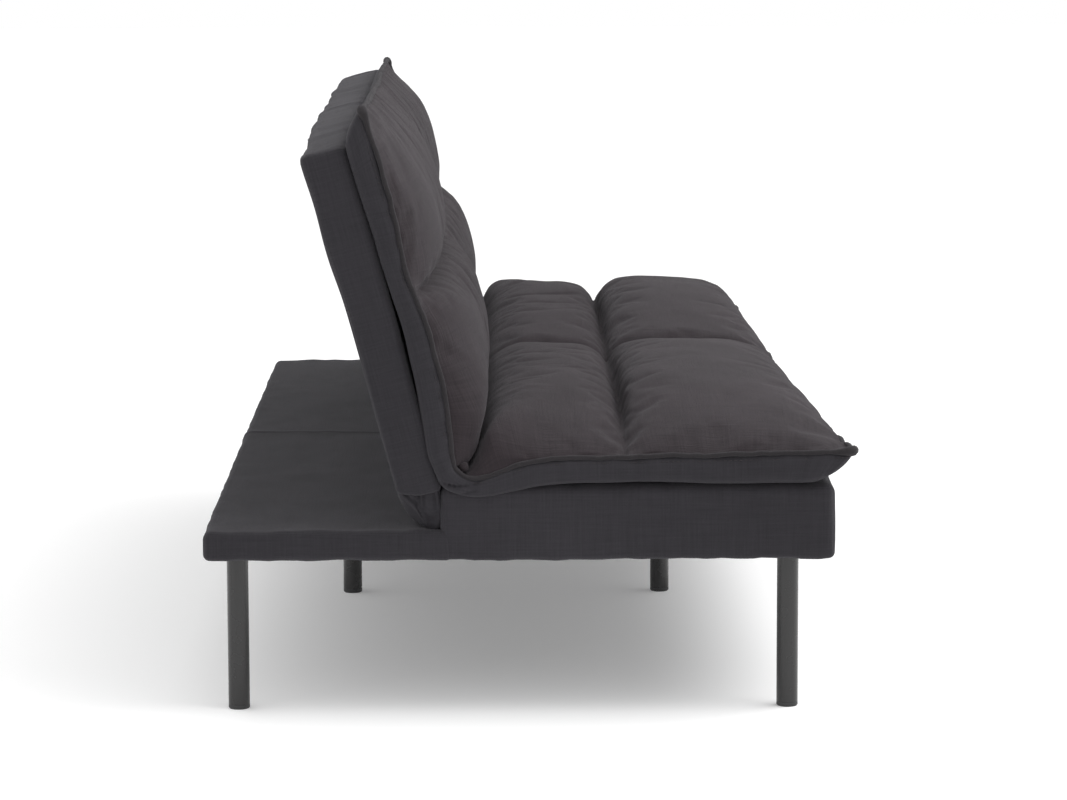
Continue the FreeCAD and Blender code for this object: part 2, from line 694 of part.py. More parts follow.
def make_hinges():
    """A seat bracket, back arm, pin, cam and sprung detent arm inside each end."""
    pin = size["pivot_radius"]
    pin_hole = pin + RUNNING_FIT
    pivot_y, pivot_z = detent_pivot.y, detent_pivot.z
    roller_y, roller_z = roller_spot.y, roller_spot.z
    bracket = plate_body(
        "hinge_bracket_master", rectangle(-116, -11, 0, 11), [(0, 0, 14)],
        [(0, 0, pin + 0.02), (pivot_y, pivot_z, detent_pin + 0.02)]
        + [(y, 0, screw_radius + 0.05) for y in BRACKET_SCREWS],
    )
    arm = plate_body(
        "hinge_arm_master", rectangle(-10, 0, 10, 134), [(0, 0, 12)],
        [(0, 0, pin_hole)] + [(0, z, screw_radius + 0.05) for z in ARM_SCREWS],
    )
    across = Vector(0, roller_way.y, roller_way.z) * 4.5
    bar = [detent_pivot + across, roller_spot + across, roller_spot - across, detent_pivot - across]
    detent = plate_body(
        "detent_arm_master", [(v.y, v.z) for v in bar],
        [(pivot_y, pivot_z, 6), (roller_y, roller_z, 5)],
        [(pivot_y, pivot_z, detent_pin + RUNNING_FIT), (roller_y, roller_z, 2.05)],
    )
    # These turned pieces are drawn pointing up and laid down to point outwards.
    head, collar = 3, 2
    stack = 3 * plate + 1
    hinge_pin = turned_body(
        "hinge_pin_master",
        [(0, -collar - 0.3), (pin + 2, -collar - 0.3), (pin + 2, -0.3), (pin, -0.3), (pin, stack),
         (pin + 3, stack), (pin + 3, stack + head), (0, stack + head)],
    )
    washer = turned_body("hinge_washer_master", rectangle(pin + 0.05, 0.05, pin + 5, 0.95))
    screw = turned_body(
        "hinge_screw_master",
        [(0, -2.2), (3, -2.2), (4.6, -0.6), (4.6, 0), (screw_radius, 0), (screw_radius, plate + 13),
         (0.5, plate + 16), (0, plate + 16)],
    )
    roller = turned_body(
        "detent_roller_master",
        [(0, 0), (size["roller_radius"], 0), (size["roller_radius"], plate - 0.2), (2, plate - 0.2),
         (2, 2 * plate + 0.1), (0, 2 * plate + 0.1)],
    )
    detent_axle = turned_body(
        "detent_pin_master",
        [(0, 0), (4.6, 0), (4.6, 0.8), (detent_pin, 0.8), (detent_pin, stack + 1), (0, stack + 1)],
    )
    spring_shape = band_spring(3.3, 4.5, plate.value - 0.4, 50)
    cam = cam_shape()
    pins, washers, seat_screws, back_screws, axles, springs = [], [], [], [], [], []
    for name, side in SIDES:
        outwards = TO_X if side > 0 else TO_MINUS_X

        def layer(face):
            """The lower x of a plate whose outer face is at this distance from the middle."""
            return face - plate if side > 0 else -face

        node(copy_of(bracket, f"hinge_bracket_{name}", layer(bracket_x), hinge_y, hinge_z))
        node(copy_of(arm, f"hinge_arm_{name}", layer(arm_x), 0, 0, on_back=True))
        node(copy_of(detent, f"detent_arm_{name}", layer(arm_x), hinge_y, hinge_z))
        node(copy_of(roller, f"detent_roller_{name}", (cam_x - plate + 0.1) * side, hinge_y + roller_y,
                     hinge_z + roller_z, turn=outwards))
        cam_item = doc.addObject("Part::Feature", f"hinge_cam_{name}")
        cam_item.Shape = cam
        node(place(cam_item, layer(cam_x), hinge_y, hinge_z))
        pins.append(copy_of(hinge_pin, f"hinge_pin_{name}", (cam_x - plate) * side, hinge_y, hinge_z,
                            turn=outwards))
        washers.append(copy_of(washer, f"hinge_washer_{name}", arm_x * side, hinge_y, hinge_z, turn=outwards))
        axles.append(copy_of(detent_axle, f"detent_pin_{name}", (cam_x - plate - 1) * side, hinge_y + pivot_y,
                             hinge_z + pivot_z, turn=outwards))
        for i, y in enumerate(BRACKET_SCREWS):
            seat_screws.append(copy_of(screw, f"seat_screw_{name}_{i}", (bracket_x - plate) * side,
                                       hinge_y + y, hinge_z, turn=outwards))
        for i, z in enumerate(ARM_SCREWS):
            back_screws.append(copy_of(screw, f"back_screw_{name}_{i}", (arm_x - plate) * side, 0, z,
                                       on_back=True, turn=outwards))
        spring = doc.addObject("Part::Feature", f"detent_spring_{name}")
        spring.Shape = spring_shape
        springs.append(place(spring, layer(cam_x) + 0.2, hinge_y + pivot_y, hinge_z + pivot_z))
    node(group("hinge_pins", pins))
    node(group("hinge_washers", washers))
    node(group("hinge_seat_screws", seat_screws))
    node(group("hinge_back_screws", back_screws))
    node(group("detent_pins", axles))
    node(group("detent_springs", springs))


# ---------------------------------------------------------------- build and write
make_legs()
make_base_frame()
make_deck()
make_seat_frame()
make_seat_box()
make_mattress()
make_back()
make_hinges()
doc.recompute()

for item in doc.Objects:
    if "Invalid" in item.State or "Error" in item.State:
        raise RuntimeError(f"{item.Label} did not build: {item.State}")
os.makedirs("parts", exist_ok=True)
for item in nodes:
    shape = Part.getShape(item)
    if shape.isNull() or not shape.isValid():
        raise RuntimeError(f"{item.Label} has no valid shape")
    shape.exportStep(os.path.join("parts", f"{item.Label}.step"))
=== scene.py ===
"""The looks of the folding sofa bed: its tufted mattress, upholstery, seams, materials, light and camera.

Metres, in the CAD frame: X along the sofa, -Y the way it faces, +Z up. Profiles are written in millimetres.
"""

import json
import math

import bpy
import numpy as np
from mathutils import Matrix, Vector


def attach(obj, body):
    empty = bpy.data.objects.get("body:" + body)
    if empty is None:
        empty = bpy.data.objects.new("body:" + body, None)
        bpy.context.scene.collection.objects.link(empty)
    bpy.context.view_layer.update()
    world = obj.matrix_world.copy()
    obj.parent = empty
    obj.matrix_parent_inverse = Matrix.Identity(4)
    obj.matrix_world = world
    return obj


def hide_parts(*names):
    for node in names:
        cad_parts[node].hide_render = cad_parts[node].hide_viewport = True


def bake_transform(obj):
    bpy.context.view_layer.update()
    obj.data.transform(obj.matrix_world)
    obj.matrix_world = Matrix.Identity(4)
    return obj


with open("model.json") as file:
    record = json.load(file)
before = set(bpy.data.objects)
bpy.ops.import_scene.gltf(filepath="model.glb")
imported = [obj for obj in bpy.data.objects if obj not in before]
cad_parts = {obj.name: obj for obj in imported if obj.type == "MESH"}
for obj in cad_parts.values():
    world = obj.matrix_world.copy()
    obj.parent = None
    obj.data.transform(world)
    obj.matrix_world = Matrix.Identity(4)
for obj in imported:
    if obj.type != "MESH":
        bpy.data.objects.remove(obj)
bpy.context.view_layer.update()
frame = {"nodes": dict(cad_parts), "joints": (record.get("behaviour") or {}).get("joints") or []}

MM = 0.001
joint = next(j for j in frame["joints"] if j["name"] == "back_recline")
HINGE_Y, HINGE_Z = joint["pos_m"][1] / MM, joint["pos_m"][2] / MM
LEAN = math.radians(15)         # of the back, from upright

# half lengths along X
BOX_HALF = 914.0                # the three upholstered boxes
EDGE_HALF = 917.0               # the mattress's boxed edge
PIPING_HALF = 918.5             # the line of the piping
PAD_HALF = 923.0                # the mattress's domed halves

# the boxes, before their sides swell
BASE_UNDER = 220.0
SEAT_FRONT, SEAT_REAR, SEAT_TOP = -421.0, 121.0, 324.0
DECK_FRONT, DECK_REAR, DECK_TOP = 108.0, 451.0, 258.5
BACK_FACE, BACK_BEHIND = 30.5, -31.0        # ahead of the hinge line
BACK_LOW, BACK_HIGH = 20.0, 514.0           # up the back


# ---------------------------------------------------------------- curves and noise
def from_back(w, v):
    """(y, z) in millimetres of a point w ahead of the hinge line and v up the leaning back."""
    w, v = np.asarray(w, float), np.asarray(v, float)
    return (HINGE_Y - w * math.cos(LEAN) + v * math.sin(LEAN),
            HINGE_Z + w * math.sin(LEAN) + v * math.cos(LEAN))


def distances(line):
    """The distance run along a polyline, at each of its points."""
    return np.concatenate([[0], np.cumsum(np.linalg.norm(np.diff(line, axis=0), axis=1))])


def spline(points, each):
    """A smooth curve through the points, with the same number of samples between each two."""
    p = np.asarray(points, float)
    p = np.vstack([2 * p[0] - p[1], p, 2 * p[-1] - p[-2]])
    samples = []
    for a, b, c, d in zip(p, p[1:], p[2:], p[3:]):
        for t in np.linspace(0, 1, each, endpoint=False):
            samples.append(0.5 * (2 * b + (c - a) * t + (2 * a - 5 * b + 4 * c - d) * t ** 2
                                  + (3 * b - a - 3 * c + d) * t ** 3))
    return np.vstack([samples, p[-2]])


def smooth_curve(points, count):
    """A smooth curve through the points, sampled at even steps along its length."""
    line = spline(points, 24)
    run = distances(line)
    where = np.linspace(0, run[-1], count)
    return np.stack([np.interp(where, run, line[:, k]) for k in range(line.shape[1])], axis=1)


def noise(u, v, seed):
    """Smooth noise from -1 to 1, one cell per unit."""
    size = 64
    grid = np.random.RandomState(seed).rand(size, size) * 2 - 1
    u, v = np.broadcast_arrays(np.asarray(u, float), np.asarray(v, float))
    iu, iv = np.floor(u).astype(int), np.floor(v).astype(int)
    fu, fv = u - iu, v - iv
    fu, fv = fu * fu * (3 - 2 * fu), fv * fv * (3 - 2 * fv)

    def at(a, b):
        return grid[a % size, b % size]

    low = at(iu, iv) * (1 - fu) + at(iu + 1, iv) * fu
    high = at(iu, iv + 1) * (1 - fu) + at(iu + 1, iv + 1) * fu
    return low * (1 - fv) + high * fv


def ease(t):
    """0 up to t = 0, 1 from t = 1, and a smooth rise between."""
    t = np.clip(t, 0, 1)
    return t * t * (3 - 2 * t)


def fade(distance, reach):
    """1 at no distance, dying away smoothly over the reach."""
    return np.exp(-distance / reach)


def ridge(distance, width):
    """A smooth ridge of height 1 and about this width to each side."""
    return np.exp(-(distance / width) ** 2)


# ---------------------------------------------------------------- meshes
def mesh_object(name, points, faces, uvs):
    """An object from points and faces, with a UV for each point or face corner; all in millimetres."""
    mesh = bpy.data.meshes.new(name)
    mesh.from_pydata((np.asarray(points) * MM).tolist(), [], faces)
    layer = mesh.uv_layers.new(name="cloth")
    corners = np.zeros(len(mesh.loops), int)
    mesh.loops.foreach_get("vertex_index", corners)
    uvs = np.asarray(uvs, float) * MM
    if len(uvs) == len(points):
        uvs = uvs[corners]
    layer.data.foreach_set("uv", uvs.astype(np.float32).ravel())
    mesh.polygons.foreach_set("use_smooth", [True] * len(mesh.polygons))
    mesh.update()
    item = bpy.data.objects.new(name, mesh)
    bpy.context.scene.collection.objects.link(item)
    return item


def grid_faces(rows, columns, loop=False, flip=False):
    """The faces of a grid of points; with loop, each row closes on itself."""
    faces = []
    for i in range(rows - 1):
        for j in range(columns if loop else columns - 1):
            k = (j + 1) % columns
            quad = (i * columns + j, i * columns + k, (i + 1) * columns + k, (i + 1) * columns + j)
            faces.append(quad[::-1] if flip else quad)
    return faces


def along(points, axis):
    """Distance run along one axis of a grid of points."""
    step = np.linalg.norm(np.diff(points, axis=axis), axis=-1)
    pad = [(0, 0), (0, 0)]
    pad[axis] = (1, 0)
    return np.pad(np.cumsum(step, axis=axis), pad)


def grid_uv(points):
    """The distances run across and up a grid of points."""
    rows, columns = points.shape[:2]
    across = np.median(along(points, 1), axis=0, keepdims=True).repeat(rows, 0)
    up = np.median(along(points, 0), axis=1, keepdims=True).repeat(columns, 1)
    return np.stack([across, up], -1).reshape(-1, 2)


def sheet_object(name, points):
    """A sheet of cloth through a grid of points."""
    faces = grid_faces(*points.shape[:2], flip=True)
    return mesh_object(name, points.reshape(-1, 3), faces, grid_uv(points))


def subdivide(item):
    """Rounds an object off with one level of subdivision."""
    modifier = item.modifiers.new("smooth", "SUBSURF")
    modifier.levels = modifier.render_levels = 1
    apply_modifiers(item)


def apply_modifiers(item):
    """Bakes an object's modifiers into its mesh."""
    graph = bpy.context.evaluated_depsgraph_get()
    mesh = bpy.data.meshes.new_from_object(item.evaluated_get(graph), preserve_all_data_layers=True,
                                           depsgraph=graph)
    item.modifiers.clear()
    item.data = mesh


def coordinates(item):
    """The object's points, one row each."""
    co = np.zeros(len(item.data.vertices) * 3, np.float32)
    item.data.vertices.foreach_get("co", co)
    return co.reshape(-1, 3).astype(float)


def set_coordinates(item, co):
    """Moves the object's points."""
    item.data.vertices.foreach_set("co", np.asarray(co, np.float32).ravel())
    item.data.update()


def spread(grid, reach):
    """The grid's values averaged over a square of this many cells each way."""
    for axis in (0, 1):
        count = grid.shape[axis]
        padded = np.concatenate([np.take(grid, [0] * reach, axis), grid,
                                 np.take(grid, [-1] * reach, axis)], axis)
        total = np.cumsum(np.concatenate([np.take(padded, [0], axis) * 0, padded], axis), axis)
        ends = np.take(total, np.arange(count) + 2 * reach + 1, axis)
        grid = (ends - np.take(total, np.arange(count), axis)) / (2 * reach + 1)
    return grid


def settle(item, held, free, cap):
    """Runs the cloth for a moment with its seams held, so that loose fabric puckers.

    Most of the slow swelling is taken out again and the movement is capped, in millimetres. free is the share
    of its movement that each point keeps.
    """
    frames, pressure, loosening = 18, 1.6, 0.014
    slow_share, slow_reach = 0.75, 5
    start = coordinates(item)
    group = item.vertex_groups.new(name="held")
    weights = held.ravel()
    for weight in np.unique(weights):
        if weight > 0:
            group.add(np.nonzero(weights == weight)[0].tolist(), float(weight), "REPLACE")
    cloth = item.modifiers.new("cloth", "CLOTH")
    s = cloth.settings
    s.quality = 6
    s.mass = 0.25
    s.tension_stiffness = s.compression_stiffness = 18
    s.shear_stiffness = 6
    s.bending_stiffness = 0.6
    s.tension_damping = s.compression_damping = s.shear_damping = 8
    s.air_damping = 4
    s.vertex_group_mass = "held"
    s.use_pressure = True
    s.uniform_pressure_force = pressure
    s.shrink_min = -loosening
    s.effector_weights.gravity = 0
    cloth.collision_settings.use_collision = False
    cloth.collision_settings.use_self_collision = False
    cloth.point_cache.frame_start, cloth.point_cache.frame_end = 1, frames
    scene = bpy.context.scene
    for number in range(1, frames + 1):
        scene.frame_set(number)
    apply_modifiers(item)
    scene.frame_set(1)
    moved = coordinates(item) - start
    moved -= slow_share * spread(moved.reshape(*held.shape, 3), slow_reach).reshape(-1, 3)
    far = np.linalg.norm(moved, axis=1, keepdims=True)
    limit = cap * MM
    moved *= np.tanh(far / limit) * limit / np.maximum(far, 1e-9) * np.ravel(free)[:, None]
    set_coordinates(item, start + moved)


# ---------------------------------------------------------------- the mattress edge
# The mattress is one long pad, folded once. Its boxed edge runs between an outer line, underneath and behind,
# and an inner line, where the piping is sewn. Both run from the front of the seat, round the fold, to the top of
# the back. Seat points are (y, z); back points are (ahead of the hinge line, up the back).
SEAT_INNER = [(-448, 370), (-404, 369), (-333, 368), (-253, 366), (-148, 364), (-91, 363), (-43, 362),
              (-11, 358), (18, 352), (42, 344), (58, 338), (74, 334), (90, 338), (102, 348)]
SEAT_OUTER = [(-412, 334), (-387, 326), (-333, 326), (-253, 326), (-148, 327), (-91, 326), (-45, 325),
              (-11, 322), (15, 316), (40, 310), (60, 307), (80, 307), (104, 313), (122, 326)]
BACK_INNER = [(57, 55), (60, 75), (63, 96), (67, 120), (71, 158), (72, 203), (71, 255), (65, 310),
              (66, 358), (69, 395), (69, 436), (68, 484), (67, 521), (65, 551)]
BACK_OUTER = [(27, 50), (24, 72), (26, 96), (30, 122), (34, 160), (37, 200), (38, 255), (36, 312),
              (34, 360), (33, 397), (31, 436), (30, 470), (30, 494), (31, 512)]


EDGE_SAMPLES = 16               # between each two points of a line


def edge_line(seat_part, back_part):
    """One line of the mattress edge. Equal samples of two lines lie across the edge from each other."""
    return spline(list(seat_part) + [from_back(w, v) for w, v in back_part], EDGE_SAMPLES)


INNER = edge_line(SEAT_INNER, BACK_INNER)
OUTER = edge_line(SEAT_OUTER, BACK_OUTER)
RUN = distances((INNER + OUTER) / 2)
EDGE_LENGTH = RUN[-1]
FOLD_RUN = RUN[EDGE_SAMPLES * len(SEAT_INNER) - EDGE_SAMPLES // 2]


def edge_point(x, run, rise):
    """A point of the mattress edge: run along it, and rise from 0 on the outer line to 1 on the inner one."""
    x, run, rise = np.broadcast_arrays(*(np.asarray(a, float) for a in (x, run, rise)))
    inside = np.clip(run, 0, EDGE_LENGTH)
    y, z = (np.interp(inside, RUN, OUTER[:, k]) * (1 - rise) + np.interp(inside, RUN, INNER[:, k]) * rise
            for k in (0, 1))
    before, after = np.minimum(run, 0), np.maximum(run - EDGE_LENGTH, 0)
    y = y + before + after * math.sin(LEAN)
    z = z + after * math.cos(LEAN)
    return np.stack([x, *sway(x, y, z, run)], -1)


def sway(x, y, z, run):
    """The front edge draws in between its corners, and the top edge sags towards the right end."""
    end = x / PAD_HALF
    front = ease(1 - run / 110)
    top = ease(1 - (EDGE_LENGTH - run) / 120)
    y = y + front * (46 * (1 - np.abs(end) ** 2) + 50 * ease(end))
    z = z - front * 20 * ease(end)
    lift = top * (3 - 12 * (end + 1) - 7 * (1 - end ** 2) + 3 * noise(x / 150, 0.3, 41))
    sink = top * 23 * ease(0.5 + 0.5 * end)
    return (y + lift * math.sin(LEAN) + sink * math.cos(LEAN),
            z + lift * math.cos(LEAN) - sink * math.sin(LEAN))


# ---------------------------------------------------------------- rounded blocks
def steps(low, high, size, edge=0.0, fine=2.5):
    """Positions from low to high, finer over the edge length at both ends."""
    def even(a, b, size, least=2):
        return np.linspace(a, b, max(least, int(round((b - a) / size)) + 1))

    if edge <= 0:
        return even(low, high, size)
    edge = min(edge, (high - low) / 2.2)
    return np.concatenate([even(low, low + edge, fine, 3)[:-1], even(low + edge, high - edge, size),
                           even(high - edge, high, fine, 3)[1:]])


def both_halves(half, size, edge, fine):
    """Positions along the sofa, finer at both ends and at the middle seam."""
    right = steps(0, half, size, edge, fine)
    return np.concatenate([-right[::-1], right[1:]])


def soft_block(name, xs, ys, zs, radius, swell, place, low_radius=None):
    """A closed block on the given lattice, with rounded edges and swollen sides, put in place by a function.

    With low_radius, the edges are rounded less towards the bottom.
    """
    shape = (len(xs), len(ys), len(zs))
    i, j, k = np.meshgrid(*(np.arange(n) for n in shape), indexing="ij")
    outer = (i == 0) | (i == shape[0] - 1) | (j == 0) | (j == shape[1] - 1) | (k == 0) | (k == shape[2] - 1)
    ids = -np.ones(shape, int)
    ids[outer] = np.arange(outer.sum())
    p = np.stack([xs[i[outer]], ys[j[outer]], zs[k[outer]]], -1)
    low, high = np.array([xs[0], ys[0], zs[0]]), np.array([xs[-1], ys[-1], zs[-1]])
    if low_radius is not None:
        radius = low_radius + (radius - low_radius) * ease((p[:, 2:] - zs[0]) / (zs[-1] - zs[0]))
    core = np.clip(p, low + radius, high - radius)
    normal = p - core
    normal /= np.linalg.norm(normal, axis=1, keepdims=True)
    rounded = core + radius * normal
    faces, uvs = [], []
    for axis in range(3):
        others = [a for a in range(3) if a != axis]
        for side in (0, shape[axis] - 1):
            sheet = np.take(ids, side, axis=axis)
            quads = np.stack([sheet[:-1, :-1], sheet[1:, :-1], sheet[1:, 1:], sheet[:-1, 1:]], -1)
            quads = quads.reshape(-1, 4)
            if (side == 0) == (axis != 1):
                quads = quads[:, ::-1]
            faces.append(quads)
            uvs.append(p[quads.ravel()][:, others])
    faces, uvs = np.concatenate(faces), np.concatenate(uvs)
    points = place(rounded + normal * swell(p, normal, low, high)[:, None])
    return mesh_object(name, points, faces.tolist(), uvs)


def bulge(p, normal, low, high, amount):
    """How far each side stands out: most at its middle, none at its edges."""
    middle, half = (low + high) / 2, (high - low) / 2
    flat = np.clip(1 - ((p - middle) / half) ** 2, 0, 1) ** 0.6
    side = np.abs(normal) ** 2
    out = np.zeros(len(p))
    for axis in range(3):
        a, b = [n for n in range(3) if n != axis]
        out += side[:, axis] * amount[axis] * flat[:, a] * flat[:, b]
    return out


# ---------------------------------------------------------------- the domed halves of the mattress
SEAT_DOME = [(-450, 367), (-451, 380), (-443, 396), (-424, 412), (-393, 427), (-342, 439), (-288, 445),
             (-229, 447), (-182, 446), (-160, 443), (-145, 436), (-136, 424), (-131, 396), (-127, 420),
             (-118, 431), (-101, 438), (-70, 442), (-30, 441), (5, 436), (27, 427), (42, 416), (53, 403),
             (62, 388), (70, 370), (79, 352), (89, 340)]
BACK_DOME = [(63, 42), (77, 47), (92, 62), (106, 86), (117, 106), (127, 130), (132, 156), (134, 184),
             (134, 215), (130, 245), (122, 266), (112, 280), (100, 288), (86, 293), (99, 298), (109, 308),
             (115, 325), (119, 350), (120, 380), (118, 412), (113, 445), (103, 478), (91, 506), (79, 529),
             (71, 545), (65, 552)]


def columns(step):
    """Places along the sofa, closer together where the pad turns down to its end seams."""
    share = np.linspace(0, 1, 22) ** 1.7
    end = PAD_HALF - 5 - 130 * share
    middle = np.linspace(-end[-1], end[-1], int(round(2 * end[-1] / step)) + 1)[1:-1]
    return np.concatenate([-end, middle, end[::-1]])


def dome_profile(dome, step, seam_at):
    """The dome's profile sampled evenly, the row that lies on its cross seam, and the run to each row."""
    line = smooth_curve(dome, 1200)
    run = distances(line)
    seam = run[np.argmin(np.linalg.norm(line - np.array(dome[seam_at]), axis=1))]
    first, second = (int(round(length / step)) for length in (seam, run[-1] - seam))
    where = np.concatenate([np.linspace(0, seam, first + 1), np.linspace(seam, run[-1], second + 1)[1:]])
    return np.stack([np.interp(where, run, line[:, k]) for k in (0, 1)], 1), first, where


def panel_lift(x, s, total, seam, half):
    """How much of its full height each point of a domed half has, from 0 at the seams to about 1."""
    end, border, side = PAD_HALF - np.abs(x), np.minimum(s, total - s), np.abs(x)
    to_fold, from_tip = (total - s, s) if half["is_seat"] else (s, total - s)
    far = ease(0.5 + x / 120)
    (near_1, far_1), (near_2, far_2) = half["crowns"]
    crown = np.where(s < seam, near_1 * (1 - far) + far_1 * far, near_2 * (1 - far) + far_2 * far)
    # each panel is a pillow along the sofa, but the two halves stay full where they press on each other
    pressed = 1 - ease((to_fold - 60) / 130)
    reach = half["end_reach"] * (1 - pressed) + 38 * pressed
    if half["is_seat"]:
        crown = crown + (0.97 - crown) * pressed
    out = np.clip((end - 5) / reach, 0, 1)
    rise = (1 - (1 - out) ** 2.2) ** 0.72
    inwards = np.clip(side / (PAD_HALF / 2), 0, 1)
    floor = half["valley"] + (1 - half["valley"]) * 0.45 * pressed
    middle = floor + (1 - floor) * (0.30 * ease(side / 34) ** 0.6 + 0.70 * (1 - (1 - inwards) ** 2.2))
    corner = 1 - 0.42 * np.exp(-(np.hypot(end, from_tip) / 95) ** 1.6)
    lift = rise * middle * crown * corner
    wander = 0.05 * noise(x / 210, s / 160, half["seed"]) + 0.03 * noise(x / 70, s / 60, half["seed"] + 1)
    return lift * (1 + wander), out > 0.01


def pad_folds(x, s, total, seam, half):
    """Loose cloth: short folds run out of every seam and corner, in millimetres of height."""
    end, border, across, side = PAD_HALF - np.abs(x), np.minimum(s, total - s), np.abs(s - seam), np.abs(x)
    seed = half["seed"]
    # along a seam, away from it, and the folds' height, width, length, reach and start
    seams = ((s, end, 2.4, 17, 160, 34, 8), (x, border, 2.0, 19, 150, 36, 8),
             (x, across, 1.5, 17, 130, 22, 6), (s, side, 1.5, 17, 130, 22, 6))
    fold = 0
    for number, (on, off, height, width, length, reach, start) in enumerate(seams, seed + 2):
        fold = fold + height * noise(on / width, off / length, number) * fade(off, reach) * ease(off / start)
    from_corner = np.hypot(end, border)
    turn = np.arctan2(border, end) / 0.16 + np.sign(x) * 3 + (s > total / 2) * 7
    fold += 2.6 * noise(turn, from_corner / 120, seed + 7) * fade(from_corner, 75) * ease(from_corner / 14)
    fold += 0.8 * noise(x / 45 + s / 80, s / 30 - x / 200, seed + 6)
    if not half["is_seat"]:
        # the top edge of the back half swells between puckers
        puff = np.abs(np.sin(math.pi * (x / 172 + 0.35 * noise(x / 210, 0.5, seed + 8)))) ** 0.5 - 0.6
        fold += 6.5 * puff * np.exp(-((total - s) / 62) ** 1.5) * ease((total - s) / 14)
    sewn = -8.0 * ridge(across, 5) * (end > 12) - 4.0 * ridge(side, 5) * (border > 12)
    return fold + sewn


def pad_sheet(half):
    """One domed half: four panels between the piping, the cross seam and the lengthwise seam.

    Returns x and the two profile coordinates of a grid, the run of each point over the dome, the whole run, and
    how firmly each point is sewn down.
    """
    profile, seam_row, run = dome_profile(half["dome"], 8.0, half["seam_at"])
    xs, total = columns(8.4), run[-1]
    x, s = np.meshgrid(xs, run)
    place = np.interp(s, [0, run[seam_row], total], half["edge_places"])
    edge = np.array(half["edge"], float)
    if half["is_seat"]:
        low = np.stack([place, np.interp(place, edge[:, 0], edge[:, 1])], -1)
    else:
        low = np.stack([np.interp(place, edge[:, 1], edge[:, 0]), place], -1)
    high = np.broadcast_to(profile[:, None, :], low.shape)
    lift, raised = panel_lift(x, s, total, run[seam_row], half)
    grid = low + (high - low) * lift[..., None]
    tangent = np.gradient(grid, axis=0)
    tangent /= np.linalg.norm(tangent, axis=-1, keepdims=True)
    outwards = np.stack([-tangent[..., 1], tangent[..., 0]], -1)
    if not half["is_seat"]:
        outwards = -outwards
    grid = grid + outwards * (pad_folds(x, s, total, run[seam_row], half) * raised)[..., None]
    held = np.zeros(x.shape)
    held[[0, -1], :] = held[:, [0, -1]] = 1
    held[seam_row, :] = 1
    held[:, np.argmin(np.abs(xs))] = 0.9
    return x, grid[..., 0], grid[..., 1], s, total, held


SEAT_HALF = {
    "is_seat": True, "dome": SEAT_DOME, "seam_at": 12, "edge": SEAT_INNER, "edge_places": (-448, -131, 88),
    "crowns": ((0.89, 0.91), (0.83, 0.85)),     # front and rear panels, left and right of the middle
    "end_reach": 400, "valley": 0.42, "seed": 11,
}
BACK_HALF = {
    "is_seat": False, "dome": BACK_DOME, "seam_at": 13, "edge": BACK_INNER, "edge_places": (52, 292, 552),
    "crowns": ((0.97, 0.57), (0.95, 0.47)),     # lower and upper panels
    "end_reach": 190, "valley": 0.62, "seed": 23,
}


def make_half(name, points, held, free, cap):
    """A half of the mattress from its grid of points, puckered by the cloth run."""
    item = mesh_object(name, points.reshape(-1, 3), grid_faces(*points.shape[:2]), grid_uv(points))
    settle(item, held, free, cap)
    subdivide(item)
    return item


def seat_half():
    """The seat's half of the mattress. Its rear edge, under the back, hardly moves in the cloth run."""
    x, y, z, s, total, held = pad_sheet(SEAT_HALF)
    points = np.stack([x, *sway(x, y, z, y - SEAT_HALF["edge_places"][0])], -1)
    free = 0.12 + 0.88 * ease((total - s - 60) / 60)
    return make_half("seat_pad_top", points, held, free, 8)


def back_half():
    """The back's half of the mattress. Its lower edge, on the seat, hardly moves in the cloth run."""
    x, w, v, s, _, held = pad_sheet(BACK_HALF)
    y, z = from_back(w, v)
    points = np.stack([x, *sway(x, y, z, EDGE_LENGTH - (BACK_HALF["edge_places"][-1] - v))], -1)
    free = 0.12 + 0.88 * ease((s - 90) / 60)
    return make_half("back_pad_top", points, held, free, 5)


def edge_band():
    """The boxed edge and the underside of the mattress, one closed pad bent round the fold."""
    thick = 36.0
    near_fold = 80.0
    runs = np.concatenate([steps(0, FOLD_RUN - near_fold, 7, 24, 3),
                           np.arange(FOLD_RUN - near_fold + 2.5, FOLD_RUN + near_fold - 2, 2.5),
                           steps(FOLD_RUN + near_fold, EDGE_LENGTH, 7, 24, 3)])

    def swell(p, normal, low, high):
        x, run = p[:, 0], p[:, 1]
        at_end, at_front = np.abs(normal[:, 0]) > 0.7, np.abs(normal[:, 1]) > 0.7
        t = np.clip(p[:, 2] / thick, 0, 1)
        round_off = 4 * t * (1 - t)
        side = np.clip(np.abs(normal[:, 0]) + np.abs(normal[:, 1]), 0, 1)
        gather = side * (1.5 * noise(run / 13, t * 1.3, 51) * at_end
                         + 1.6 * noise(x / 17, t * 1.3, 52) * at_front)
        crease = ridge(noise(run / 27 + 1.4 * t, t * 1.1, 54), 0.13)
        gather += at_end * ridge(run - FOLD_RUN, 52) * (2.0 - 6.5 * crease)
        under = (normal[:, 2] < -0.7) * 1.5 * noise(x / 60, run / 45, 53)
        return side * 7.5 * round_off ** 0.8 + gather * round_off ** 0.5 + under

    return soft_block("mattress_boxed_edge", both_halves(EDGE_HALF, 16, 24, 3), runs, np.linspace(0, thick, 11),
                      7.0, swell, lambda q: edge_point(q[:, 0], q[:, 1], q[:, 2] / thick))


